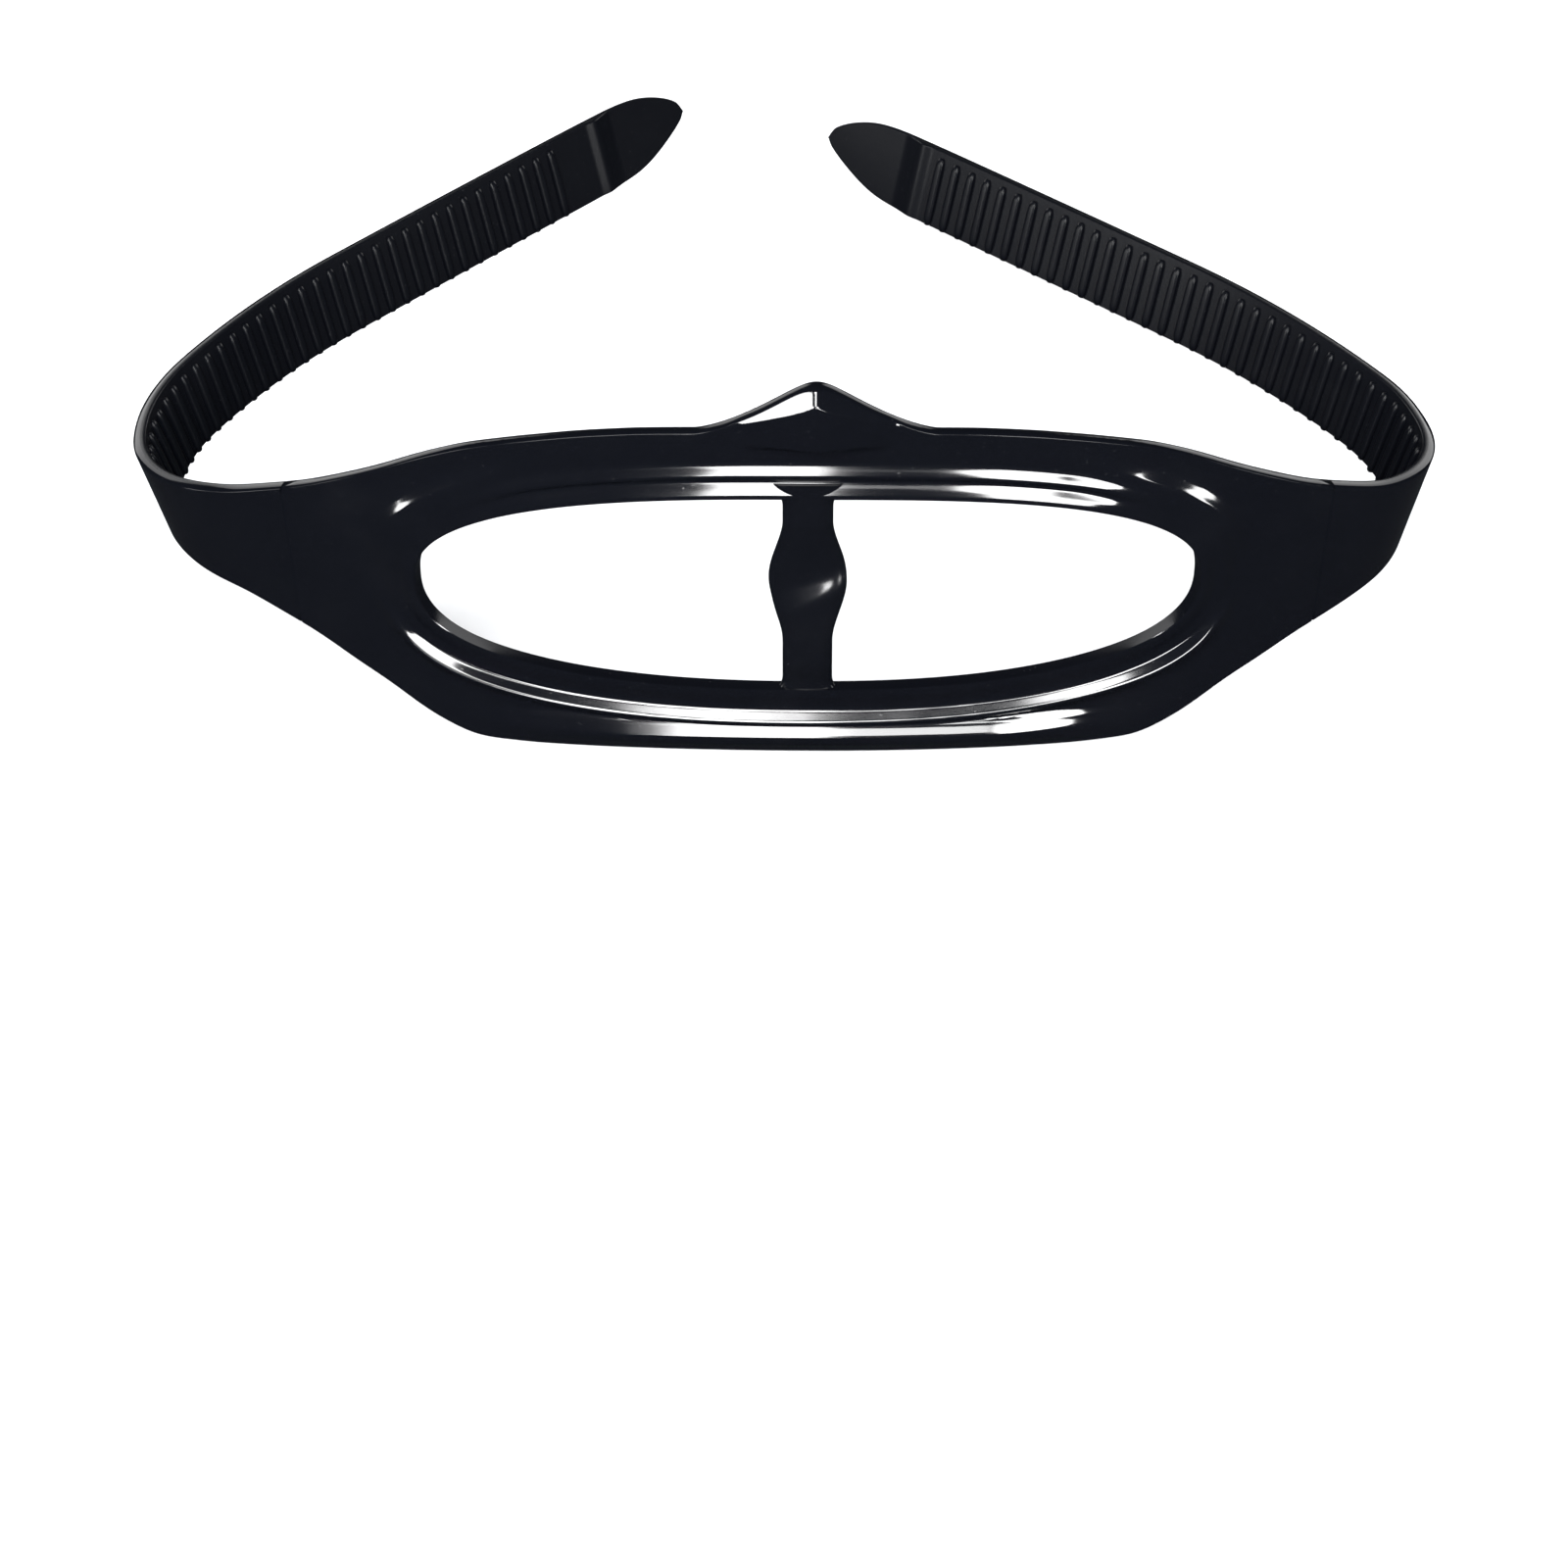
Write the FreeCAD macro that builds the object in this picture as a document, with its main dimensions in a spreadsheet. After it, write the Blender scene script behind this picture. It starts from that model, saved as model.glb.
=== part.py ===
"""Rear strap of a diving mask, as a FreeCAD 1.1 parametric document (millimetres).

The real strap is one moulding of silicone rubber: a split pad for the back of the head, with a long
opening and a bar across it, a wing at each end of the pad, and a ribbed tail that each wing turns
into.  The model holds its named regions as separate solids, and cuts each tail into short lengths so
that it can bend.

Frame: +X to the right end of the pad, +Y from the pad towards the mask, +Z up.
Origin: the middle of the centre bar's inner face, which lies against the head.

A place on the band is given by its distance along the band from the middle of the pad, on either
side.  station() turns that into a point and three directions, and every loft, rib and hinge uses it.
"""
import FreeCAD, Part
import Sketcher
import math
import os

SIDES = {"left": -1, "right": 1}

document = FreeCAD.newDocument("mask_strap")
sheet = document.addObject("Spreadsheet::Sheet", "dims")
next_row = 1


def cell(alias, value):
    """Put one driving size in the sheet under its alias."""
    global next_row
    sheet.set(f"A{next_row}", alias.replace("_", " "))
    sheet.set(f"B{next_row}", str(value))
    sheet.setAlias(f"B{next_row}", alias)
    next_row += 1


def dim(alias):
    """Read one driving size back."""
    return float(sheet.get(alias))


# ---------------------------------------------------------------- driving sizes
cell("band_thick", 2.4)
cell("tail_width", 16.0)
cell("half_length", 295.0)
cell("split_gap", 0.8)

cell("rib_pitch", 4.05)
cell("rib_wide", 1.7)
cell("rib_deep", 0.9)
cell("rib_root", 0.5)
cell("rib_land_upper", 2.4)
cell("rib_land_lower", 1.2)

cell("tip_length", 20.5)
cell("tip_thick", 1.5)
cell("plain_length", 10.5)
cell("ridge_wide", 1.6)
cell("ridge_high", 1.3)

cell("opening_half_x", 69.0)
cell("opening_half_z", 21.8)
cell("opening_middle_z", 1.6)
cell("opening_power", 2.5)
cell("bead_wide", 7.0)
cell("bead_high", 2.0)

cell("bar_neck_wide", 8.9)
cell("bar_swell_wide", 13.9)
cell("bar_thick", 4.4)
cell("bar_swell_z", 4.2)
cell("bar_swell_reach", 11.5)
cell("bar_half_height", 26.0)

cell("crest_half_base", 19.0)
cell("crest_high", 9.2)
cell("crest_round", 5.0)
cell("crest_base_z", 35.4)

cell("rail_half_x", 61.0)
cell("facet_turn", 3.0)
cell("facet_reach", 5.0)
cell("lean_from", 60.0)
cell("lean_to", 150.0)
cell("left_lean", 18.0)
cell("right_lean", 17.5)

# Plan curve of each half: tangent arcs, each with a length and a turn in degrees.
PLAN = {
    "left": [(60, 5.5), (25, 17.5), (25, 1.5), (24, 60.5), (26, 31.5), (45, 15), (90, 1)],
    "right": [(60, 8), (25, 14), (17, 7.5), (26, 63.5), (22, 30), (50, 14.5), (95, 0.5)],
}
for side_name, plan in PLAN.items():
    for number, (run, turn) in enumerate(plan, 1):
        cell(f"{side_name}_run_{number}", run)
        cell(f"{side_name}_turn_{number}", turn)

# Flat pattern of half the band: distance from the middle, then the height above and below the line
# that the tails' middles lie on.
OUTLINE = [
    (0, 35.4, 33.6), (20, 35.4, 33.6), (30, 35.0, 33.6), (40, 34.0, 33.6), (50, 32.4, 33.6),
    (60, 30.4, 33.0), (68, 27.6, 28.9), (76, 23.8, 23.4), (90, 17.6, 16.9), (105, 12.6, 12.2),
    (120, 9.9, 9.7), (135, 8.4, 8.4), (150, 8.0, 8.0),
]
for number, (along, above, below) in enumerate(OUTLINE):
    cell(f"outline_along_{number}", along)
    cell(f"outline_above_{number}", above)
    cell(f"outline_below_{number}", below)

# Lengths of the tail: two plain ones where the wing turns, then ones that hold whole ribs.
cell("wing_end", 100.0)
cell("plain_lengths", 2)
RIBS_HELD = [2, 3, 4, 6, 7, 7, 6]
for number, count in enumerate(RIBS_HELD, 1):
    cell(f"ribs_held_{number}", count)

document.recompute()


# ---------------------------------------------------------------- the band's rule
def smooth(value):
    """Ease from 0 to 1 with level ends."""
    value = min(max(value, 0.0), 1.0)
    return value * value * (3 - 2 * value)


def station(along, side_name):
    """Point, band direction, upward direction and outward normal at a distance along one half."""
    side = SIDES[side_name]
    x, y, heading, left_over = 0.0, -dim("band_thick") / 2, 0.0, along
    for number in range(1, len(PLAN[side_name]) + 1):
        run = dim(f"{side_name}_run_{number}")
        turn = math.radians(dim(f"{side_name}_turn_{number}"))
        part = min(left_over, run)
        turned = turn * part / run
        chord = part * math.sin(turned / 2) / (turned / 2) if turned else part
        x += chord * math.cos(heading + turned / 2)
        y += chord * math.sin(heading + turned / 2)
        heading += turned
        left_over -= part
        if left_over <= 0:
            break
    reach = (along - dim("lean_from")) / (dim("lean_to") - dim("lean_from"))
    lean = math.radians(dim(f"{side_name}_lean")) * smooth(reach)
    level_out = FreeCAD.Vector(side * math.sin(heading), -math.cos(heading), 0)
    vertical = FreeCAD.Vector(0, 0, 1)
    up = vertical * math.cos(lean) + level_out * math.sin(lean)
    out = level_out * math.cos(lean) - vertical * math.sin(lean)
    forward = FreeCAD.Vector(side * math.cos(heading), math.sin(heading), 0)
    return FreeCAD.Vector(side * x, y, 0), forward, up, out


def outline(along):
    """Height of the band above and below its middle line, straight between the outline's points."""
    last = len(OUTLINE) - 1
    points = [tuple(dim(f"outline_{key}_{number}") for key in ("along", "above", "below"))
              for number in range(last + 1)]
    if along >= points[last][0]:
        return points[last][1], points[last][2]
    spot = max(number for number in range(last) if points[number][0] <= along)
    start, end = points[spot], points[spot + 1]
    share = (along - start[0]) / (end[0] - start[0])
    return tuple(start[key] + (end[key] - start[key]) * share for key in (1, 2))


def frame_at(point, up, out):
    """Placement whose X runs up the band, Y out of it and Z along it."""
    return FreeCAD.Placement(point, FreeCAD.Rotation(up, out, up.cross(out), "XYZ"))


def tail_breaks():
    """Distances at which the tail is split: the wing's end, each length's end and the tip."""
    pitch = dim("rib_pitch")
    ridge_at = dim("half_length") - dim("tip_length")
    ribbed_end = ridge_at - dim("plain_length")
    counts = [int(dim(f"ribs_held_{number}")) for number in range(1, len(RIBS_HELD) + 1)]
    ribbed_start = ribbed_end - pitch * sum(counts)
    plain = int(dim("plain_lengths"))
    step = (ribbed_start - dim("wing_end")) / plain
    breaks = [dim("wing_end") + step * number for number in range(plain + 1)]
    for count in counts:
        breaks.append(breaks[-1] + count * pitch)
    breaks[-1] = ridge_at
    return breaks + [dim("half_length")], ribbed_start, ribbed_end


# ---------------------------------------------------------------- builders
def section(name, along, side_name, heights, layer="band"):
    """Rectangular cross-section of the band, or of the bead's layer on the band's outer face."""
    point, _, up, out = station(along, side_name)
    above, below = heights
    half_thick = dim("band_thick") / 2
    plane = document.addObject("Part::Plane", name)
    plane.Length = above + below
    plane.setExpression("Width", {"band": "dims.band_thick", "bead": "dims.bead_high"}[layer])
    inner_face = -half_thick if layer == "band" else half_thick
    plane.Placement = frame_at(point - up * below + out * inner_face, up, out)
    return plane


def loft(name, sections):
    """Solid through cross-sections, straight from each to the next."""
    solid = document.addObject("Part::Loft", name)
    solid.Sections = sections
    solid.Solid = True
    solid.Ruled = True
    return solid


def box(name, low, high):
    """Block between two corners, used to part one region from the next."""
    block = document.addObject("Part::Box", name)
    block.Length, block.Width, block.Height = (high[axis] - low[axis] for axis in range(3))
    block.Placement.Base = FreeCAD.Vector(*low)
    return block


def boolean(kind, name, first, second):
    """Part::Cut of a base and a tool, or Part::Common of two."""
    result = document.addObject(kind, name)
    result.Base = first
    result.Tool = second
    return result


def fuse(name, shapes):
    """Fusion of several shapes into one solid."""
    result = document.addObject("Part::MultiFuse", name)
    result.Shapes = shapes
    return result


def oval_prism(name, widen):
    """Prism along Y whose outline is the opening's superellipse, widened all round."""
    half_x = dim("opening_half_x") + widen
    half_z = dim("opening_half_z") + widen
    power = 2 / dim("opening_power")
    points = []
    steps = 72
    for step in range(steps):
        angle = 2 * math.pi * step / steps
        cosine, sine = math.cos(angle), math.sin(angle)
        points.append(FreeCAD.Vector(
            math.copysign(half_x * abs(cosine) ** power, cosine),
            -30,
            dim("opening_middle_z") + math.copysign(half_z * abs(sine) ** power, sine)))
    curve = Part.BSplineCurve()
    curve.interpolate(Points=points, PeriodicFlag=True)
    face = document.addObject("Part::Feature", f"{name}_outline")
    face.Shape = Part.Face(Part.Wire([curve.toShape()]))
    prism = document.addObject("Part::Extrusion", name)
    prism.Base = face
    prism.DirMode = "Custom"
    prism.Dir = FreeCAD.Vector(0, 1, 0)
    prism.LengthFwd = 60
    prism.Solid = True
    return prism


# ---------------------------------------------------------------- the pad
def pad_sections(name, reach, layer):
    """Cross-sections of the pad and wings, with a station at every point of the outline."""
    places = sorted({point[0] for point in OUTLINE if point[0] < reach} | {10, 45, 55, 64, 72, 83, reach})
    everywhere = [-place for place in reversed(places) if place] + places
    planes = []
    for number, along in enumerate(everywhere, 1):
        side_name = "left" if along < 0 else "right"
        planes.append(section(f"{name}_section_{number}", abs(along), side_name,
                              outline(abs(along)), layer))
    return planes


def build_pad():
    """Rails, wings, bead, centre bar and crest around the long opening."""
    wing_cut = dim("wing_end") - dim("split_gap") / 2
    opening = oval_prism("opening_prism", 0)
    bead_edge = oval_prism("bead_prism", dim("bead_wide"))

    plate = loft("pad_plate", pad_sections("plate", wing_cut, "band"))
    frame = boolean("Part::Cut", "pad_frame", plate, opening)
    rail_x = dim("rail_half_x")
    middle_z = dim("opening_middle_z")
    regions = {
        "top_rail": ((-rail_x, -30, middle_z), (rail_x, 30, 60)),
        "bottom_rail": ((-rail_x, -30, -60), (rail_x, 30, middle_z)),
        "left_wing": ((-130, -30, -60), (-rail_x, 60, 60)),
        "right_wing": ((rail_x, -30, -60), (130, 60, 60)),
    }
    pieces = []
    for name, (low, high) in regions.items():
        pieces.append(boolean("Part::Common", name, frame, box(f"{name}_region", low, high)))

    layer = loft("bead_layer", pad_sections("layer", wing_cut, "bead"))
    ring = boolean("Part::Common", "bead_oval", layer, bead_edge)
    pieces.append(boolean("Part::Cut", "opening_bead", ring, opening))

    pieces.append(build_bar(opening))
    pieces.append(build_crest())
    return pieces


def build_bar(opening):
    """Bar across the opening: elliptical sections, swollen a little above its middle."""
    swell, reach = dim("bar_swell_z"), dim("bar_swell_reach")
    half = dim("bar_half_height")
    levels = [-half, swell - reach, swell - reach / 2, swell, swell + reach / 2, swell + reach, half]
    shares = [0, 0, 0.62, 1, 0.62, 0, 0]
    rings = []
    for number, (level, share) in enumerate(zip(levels, shares), 1):
        ring = document.addObject("Part::Ellipse", f"bar_section_{number}")
        ring.setExpression("MajorRadius", f"(dims.bar_neck_wide"
                           f" + (dims.bar_swell_wide - dims.bar_neck_wide) * {share}) / 2")
        ring.setExpression("MinorRadius", "dims.bar_thick / 2")
        ring.Placement.Base = FreeCAD.Vector(0, -dim("bar_thick") / 2, level)
        rings.append(ring)
    full = loft("bar_full", rings)
    full.Ruled = False
    return boolean("Part::Common", "centre_bar", full, opening)


def build_crest():
    """Low rounded triangle that stands on the top rail's middle."""
    half_base = dim("crest_half_base")
    base_z = dim("crest_base_z")
    planes = []
    for number, along in enumerate((-20, -10, 0, 10, 20), 1):
        side_name = "left" if along < 0 else "right"
        heights = (base_z + dim("crest_high") + 2, -base_z)
        planes.append(section(f"crest_section_{number}", abs(along), side_name, heights))
    plate = loft("crest_plate", planes)

    sketch = document.addObject("Sketcher::SketchObject", "crest_outline")
    sketch.Placement = FreeCAD.Placement(FreeCAD.Vector(0, 20, base_z),
                                         FreeCAD.Rotation(FreeCAD.Vector(1, 0, 0), 90))
    corners = [FreeCAD.Vector(-half_base, 0, 0), FreeCAD.Vector(half_base, 0, 0),
               FreeCAD.Vector(0, dim("crest_high"), 0)]
    for number, corner in enumerate(corners):
        sketch.addGeometry(Part.LineSegment(corner, corners[(number + 1) % 3]), False)
    for number in range(3):
        sketch.addConstraint(Sketcher.Constraint("Coincident", number, 2, (number + 1) % 3, 1))
    sketch.addConstraint(Sketcher.Constraint("Horizontal", 0))
    width = sketch.addConstraint(Sketcher.Constraint("DistanceX", 0, 1, 0, 2, 2 * half_base))
    rise = sketch.addConstraint(Sketcher.Constraint("DistanceY", 0, 1, 1, 2, dim("crest_high")))
    sketch.addConstraint(Sketcher.Constraint("Equal", 1, 2))
    sketch.addConstraint(Sketcher.Constraint("DistanceX", 0, 1, -1, 1, half_base))
    sketch.addConstraint(Sketcher.Constraint("PointOnObject", 0, 1, -1))
    sketch.setExpression(f"Constraints[{width}]", "2 * dims.crest_half_base")
    sketch.setExpression(f"Constraints[{rise}]", "dims.crest_high")

    prism = document.addObject("Part::Extrusion", "crest_prism")
    prism.Base = sketch
    prism.DirMode = "Custom"
    prism.Dir = FreeCAD.Vector(0, -1, 0)
    prism.LengthFwd = 40
    prism.Solid = True
    document.recompute()
    rounded = document.addObject("Part::Fillet", "crest_rounded")
    rounded.Base = prism
    tip_z = base_z + dim("crest_high")
    edges = [number for number, edge in enumerate(prism.Shape.Edges, 1)
             if abs(edge.CenterOfMass.z - tip_z) < 0.01 and abs(edge.CenterOfMass.x) < 0.01]
    rounded.Edges = [(number, dim("crest_round"), dim("crest_round")) for number in edges]
    return boolean("Part::Common", "crest", plate, rounded)


# ---------------------------------------------------------------- the tails
def rib(name, along, side_name):
    """One cross rib on the inner face."""
    point, _, up, out = station(along, side_name)
    above, below = outline(along)
    bar = document.addObject("Part::Box", name)
    bar.setExpression("Length", f"{above} + {below} - dims.rib_land_upper - dims.rib_land_lower")
    bar.setExpression("Width", "dims.rib_deep + dims.rib_root")
    bar.setExpression("Height", "dims.rib_wide")
    base = (point - up * (below - dim("rib_land_lower"))
            - out * (dim("band_thick") / 2 + dim("rib_deep")))
    placement = frame_at(base, up, out)
    placement.Base = base - placement.Rotation.multVec(FreeCAD.Vector(0, 0, dim("rib_wide") / 2))
    bar.Placement = placement
    return bar


def tail_length(side_name, number, start, end, rib_places, ridge):
    """One length of the tail: a plain band, its ribs, and the cross ridge if it is the last one."""
    name = f"{side_name}_tail_{number}"
    gap = dim("split_gap") / 2
    start, end = start + gap, end - gap
    turned = math.degrees(station(start, side_name)[1].getAngle(station(end, side_name)[1]))
    pieces = max(1, math.ceil(turned / dim("facet_turn")))
    if start < OUTLINE[-1][0]:
        pieces = max(pieces, math.ceil((end - start) / dim("facet_reach")))
    planes = []
    for step in range(pieces + 1):
        along = start + (end - start) * step / pieces
        planes.append(section(f"{name}_section_{step + 1}", along, side_name, outline(along)))
    band = loft(f"{name}_band", planes)
    extras = [rib(f"{name}_rib_{count}", place, side_name)
              for count, place in enumerate(rib_places, 1)]
    if ridge:
        extras.append(cross_ridge(f"{name}_ridge", end - dim("ridge_wide"), side_name))
    if not extras:
        band.Label = name
        return band
    return fuse(name, [band] + extras)


def cross_ridge(name, along, side_name):
    """Low step across the inner face where the tip begins."""
    point, _, up, out = station(along, side_name)
    bar = document.addObject("Part::Box", name)
    bar.setExpression("Length", "dims.tail_width")
    bar.setExpression("Width", "dims.ridge_high + dims.rib_root")
    bar.setExpression("Height", "dims.ridge_wide")
    base = point - up * (dim("tail_width") / 2) - out * (dim("band_thick") / 2 + dim("ridge_high"))
    placement = frame_at(base, up, out)
    placement.Base = base - placement.Rotation.multVec(FreeCAD.Vector(0, 0, dim("ridge_wide") / 2))
    bar.Placement = placement
    return bar


def tip(side_name, start, end):
    """Thin pull tab with a round end."""
    name = f"{side_name}_tip"
    half = dim("tail_width") / 2
    reach = end - start
    point, forward, up, out = station(start + dim("split_gap") / 2, side_name)
    length = reach - dim("split_gap") / 2 - half
    block = document.addObject("Part::Box", f"{name}_block")
    block.setExpression("Length", "dims.tail_width")
    block.setExpression("Width", "dims.tip_thick")
    block.Height = length
    along_z = up.cross(out)
    base = point - up * half
    if along_z.dot(forward) < 0:
        base = base + forward * length
    block.Placement = frame_at(base, up, out)
    end_disc = document.addObject("Part::Cylinder", f"{name}_round")
    end_disc.setExpression("Radius", "dims.tail_width / 2")
    end_disc.setExpression("Height", "dims.tip_thick")
    middle = point + forward * length
    end_disc.Placement = FreeCAD.Placement(
        middle, FreeCAD.Rotation(FreeCAD.Vector(0, 0, 1), out))
    return fuse(name, [block, end_disc])


def build_tail(side_name):
    """All the lengths of one tail, then its tip."""
    breaks, ribbed_start, ribbed_end = tail_breaks()
    pitch = dim("rib_pitch")
    rib_total = round((ribbed_end - ribbed_start) / pitch)
    ribs = [ribbed_start + pitch * (number + 0.5) for number in range(rib_total)]
    pieces = []
    last = len(breaks) - 2
    for number in range(1, last + 1):
        start, end = breaks[number - 1], breaks[number]
        held = [place for place in ribs if start < place < end]
        pieces.append(tail_length(side_name, number, start, end, held, number == last))
    pieces.append(tip(side_name, breaks[last], breaks[last + 1]))
    return pieces


# ---------------------------------------------------------------- build, check and write
parts = build_pad()
for side_name in SIDES:
    parts += build_tail(side_name)
document.recompute()

for item in document.Objects:
    if "Invalid" in item.State or "Error" in item.State:
        raise RuntimeError(f"{item.Label} failed: {item.State}")

os.makedirs("parts", exist_ok=True)
for piece in parts:
    shape = piece.Shape
    if shape.isNull() or not shape.isValid() or not shape.Solids:
        raise RuntimeError(f"{piece.Label} has no valid solid")
    if len(shape.Solids) != 1:
        raise RuntimeError(f"{piece.Label} has {len(shape.Solids)} solids")
    shape.exportStep(f"parts/{piece.Label}.step")
    bounds = shape.BoundBox
    print(f"{piece.Label:16s} {shape.Volume:9.1f} mm3  x {bounds.XMin:7.1f} {bounds.XMax:7.1f}"
          f"  y {bounds.YMin:6.1f} {bounds.YMax:6.1f}  z {bounds.ZMin:6.1f} {bounds.ZMax:6.1f}")
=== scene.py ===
"""Finished model of a diving mask's rear strap, laid out as an add-on and run as a script.

The strap is one moulding of black silicone rubber: a split pad for the back of the head with a long
opening and a bar across it, a wing at each end, and a ribbed tail that each wing turns into.

Every surface is given by one rule.  A place on the band is (along, up, out): the distance along the
band from the middle of the pad, negative to the left, then the height above the tails' middle line,
then the distance out of the band's middle surface.  Band.place() turns that into a point.  Lengths in
the code are metres, and MM turns a size in millimetres into them.
"""

import math

import bpy
import numpy as np
from bpy.props import FloatProperty, FloatVectorProperty, PointerProperty
from bpy.types import Operator, Panel, PropertyGroup
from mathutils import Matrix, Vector


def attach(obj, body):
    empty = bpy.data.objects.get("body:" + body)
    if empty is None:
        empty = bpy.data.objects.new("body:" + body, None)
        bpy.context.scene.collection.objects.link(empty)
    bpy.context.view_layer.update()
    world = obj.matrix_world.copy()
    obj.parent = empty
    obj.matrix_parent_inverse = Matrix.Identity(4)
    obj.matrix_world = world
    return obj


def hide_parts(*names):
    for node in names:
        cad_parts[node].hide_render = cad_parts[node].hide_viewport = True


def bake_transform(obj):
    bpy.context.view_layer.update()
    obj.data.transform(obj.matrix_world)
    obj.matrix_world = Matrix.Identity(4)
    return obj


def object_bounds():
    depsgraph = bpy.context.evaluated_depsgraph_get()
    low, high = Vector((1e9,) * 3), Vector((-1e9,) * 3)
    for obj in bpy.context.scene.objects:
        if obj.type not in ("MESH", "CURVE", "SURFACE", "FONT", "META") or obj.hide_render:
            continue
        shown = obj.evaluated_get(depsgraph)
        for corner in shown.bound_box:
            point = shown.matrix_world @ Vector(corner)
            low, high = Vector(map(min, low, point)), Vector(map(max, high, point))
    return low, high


bl_info = {
    "name": "Mask strap",
    "version": (1, 0, 0),
    "blender": (4, 5, 0),
    "location": "View3D > Sidebar > Strap",
    "description": "Builds a moulded diving mask strap on its packed frame, with its studio",
    "category": "Add Mesh",
}

MM = 0.001
SIDES = {"left": -1, "right": 1}

# Plan curve of each half: arcs that meet smoothly, each with its length in mm and its turn in
# degrees.
PLAN = {
    "left": [(60, 5.5), (25, 17.5), (25, 1.5), (24, 60.5), (26, 31.5), (45, 15), (90, 1)],
    "right": [(60, 8), (25, 14), (17, 7.5), (26, 63.5), (22, 30), (50, 14.5), (95, 0.5)],
}
# Flat pattern of half the band in mm: distance along, height above and depth below the middle line.
OUTLINE = [
    (0, 35.4, 33.6), (20, 35.4, 33.6), (30, 35.0, 33.6), (40, 34.0, 33.6), (50, 32.4, 33.6),
    (60, 30.4, 33.0), (68, 27.6, 28.9), (76, 23.8, 23.4), (90, 17.6, 16.9), (105, 12.6, 12.2),
    (120, 9.9, 9.7), (135, 8.4, 8.4), (150, 8, 8),
]
# Ribs on each ribbed length of the tail, from the wing outwards.
RIBS_HELD = [2, 3, 4, 6, 7, 7, 6]
# Points across a tail's rounded edge, and between its two edges.
EDGE_POINTS, FACE_POINTS = 9, 10
# Kinds of face, which are material numbers, less 2 for a flat face.
POLISHED, RIBBED, FLAT_POLISHED, FLAT_RIBBED = 0, 1, -2, -1

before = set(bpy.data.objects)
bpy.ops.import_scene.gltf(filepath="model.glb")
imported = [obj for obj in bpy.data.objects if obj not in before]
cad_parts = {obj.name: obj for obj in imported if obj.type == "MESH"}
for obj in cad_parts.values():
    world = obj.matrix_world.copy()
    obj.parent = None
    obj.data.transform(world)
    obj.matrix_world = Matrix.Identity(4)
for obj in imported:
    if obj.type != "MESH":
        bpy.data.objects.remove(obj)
CAD_BOUNDS = [list(corner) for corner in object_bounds()]


def length(name, default, about):
    """A size in metres, whose default is given in millimetres."""
    return FloatProperty(name=name, description=about, default=default * MM, unit="LENGTH",
                         precision=5)


# ---------------------------------------------------------------- sizes a user may change
class BandSizes(PropertyGroup):
    thick: length("Thickness", 2.4, "Thickness of the band")
    left_length: length("Left length", 300, "From the middle of the pad to the left tip")
    right_length: length("Right length", 292, "From the middle of the pad to the right tip")
    edge_round: length("Edge round", 0.45, "How far in the band's edges are rounded")
    lean_from: length("Lean from", 60, "Where the tails start to lean outwards at the top")
    lean_to: length("Lean to", 150, "Where the lean is complete")
    left_lean: FloatProperty(name="Left lean", description="Lean of the left tail",
                             default=math.radians(18), subtype="ANGLE")
    right_lean: FloatProperty(name="Right lean", description="Lean of the right tail",
                              default=math.radians(17.5), subtype="ANGLE")
    wing_end: length("Wing end", 100, "Where the first length of the tail starts")
    pad_end: length("Pad end", 94, "Where the pad's skin meets the tail's skin")
    soften: length("Soften", 6, "Reach over which the band's curves are eased")


class PadSizes(PropertyGroup):
    opening_half_x: length("Opening half length", 69, "Half the length of the opening")
    opening_half_z: length("Opening half height", 21.0, "Half the height of the opening")
    opening_middle_z: length("Opening middle", 1.6, "Height of the opening's middle")
    opening_power: FloatProperty(name="Opening power", description="Squareness of the opening",
                                 default=2.5)
    crest_high: length("Crest height", 9.6, "Rise of the crest above the top rail")
    crest_reach: length("Crest reach", 18.2, "Half width of the crest, less its rounding")
    crest_tip: length("Crest tip", 3.2, "Rounding of the crest's top")
    crest_shift: length("Crest shift", 1.4, "How far right of the bar the crest stands")


class BarSizes(PropertyGroup):
    neck_wide: length("Neck width", 8.9, "Width of the bar at its necks")
    swell_wide: length("Swell width", 13.9, "Width of the bar at its swell")
    thick: length("Bar thickness", 4.2, "Thickness of the bar")
    swell_z: length("Swell height", 4.2, "Height of the swell's middle")
    swell_reach: length("Swell reach", 11.5, "Half the height of the swell")
    twist: FloatProperty(name="Twist", description="Turn of the swell about the bar",
                         default=math.radians(5), subtype="ANGLE")


class TailSizes(PropertyGroup):
    rib_pitch: length("Rib pitch", 4.05, "Distance from one rib to the next")
    rib_wide: length("Rib width", 1.8, "Width of a rib along the tail")
    rib_deep: length("Rib depth", 0.9, "How far a rib stands off the tail")
    rib_root: length("Rib root", 0.5, "How far a rib reaches into the tail")
    land_upper: length("Upper land", 1.5, "Plain margin above the ribs")
    land_lower: length("Lower land", 0.25, "Plain margin below the ribs")
    last_hinge: length("Last hinge", 274.5, "Where the last length of the tail ends")
    tip_length: length("Tip length", 22.5, "Length of the pull tab at the end")
    tip_thick: length("Tip thickness", 1.5, "Thickness of the pull tab")
    plain_length: length("Plain length", 10.5, "Plain stretch between the ribs and the tab")
    ridge_high: length("Ridge height", 0.45, "Height of the cross ridge before the tab")
    ridge_wide: length("Ridge width", 2.4, "Width of the cross ridge")


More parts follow.
